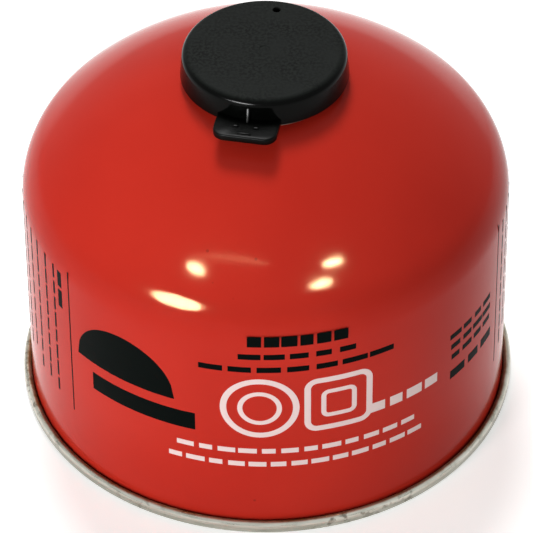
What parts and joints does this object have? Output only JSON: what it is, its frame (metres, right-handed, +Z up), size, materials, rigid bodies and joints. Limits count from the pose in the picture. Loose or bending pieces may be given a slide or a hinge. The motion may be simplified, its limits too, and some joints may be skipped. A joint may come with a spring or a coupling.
{
  "type": "fuel canister",
  "caption": "Squat domed gas canister with a red enamelled shell, bare seamed base, screw-thread valve and black pull-off cap.",
  "frame": {"origin": "centre of the seam's bottom ring, on the surface that the canister stands on", "axes": "+Z up along the can's axis, out of the valve; -Y towards the front of the printed wall; +X to the right of it"},
  "size_m": [0.11, 0.11, 0.0907],
  "materials": {
    "red_enamel": "gloss enamel, printed",
    "tinplate": "bare rolled tinplate, lightly stained",
    "black_rubber": "matte",
    "acetal": "moulded",
    "spring_steel": "drawn wire",
    "brass": "turned",
    "black_plastic": "moulded, fine matte top and glossy skirt"
  },
  "bodies": {
    "can": {"can_body": "red_enamel", "base_end": "tinplate", "valve_cup": "tinplate", "rim_gasket": "black_rubber", "stem_seal": "black_rubber", "valve_housing": "acetal", "valve_spring": "spring_steel"},
    "cap": {"cap": "black_plastic"},
    "stem": {"valve_stem": "brass"}
  },
  "joints": [
    {"name": "cap_lift", "type": "slide", "parent": "can", "child": "cap", "axis": [0, 0, 1], "range_m": [0, 0.02]},
    {"name": "stem_press", "type": "slide", "parent": "can", "child": "stem", "axis": [0, 0, -1], "range_m": [0, 0.0015], "stiffness_N_per_m": 2000, "deforming": ["valve_spring"]}
  ]
}
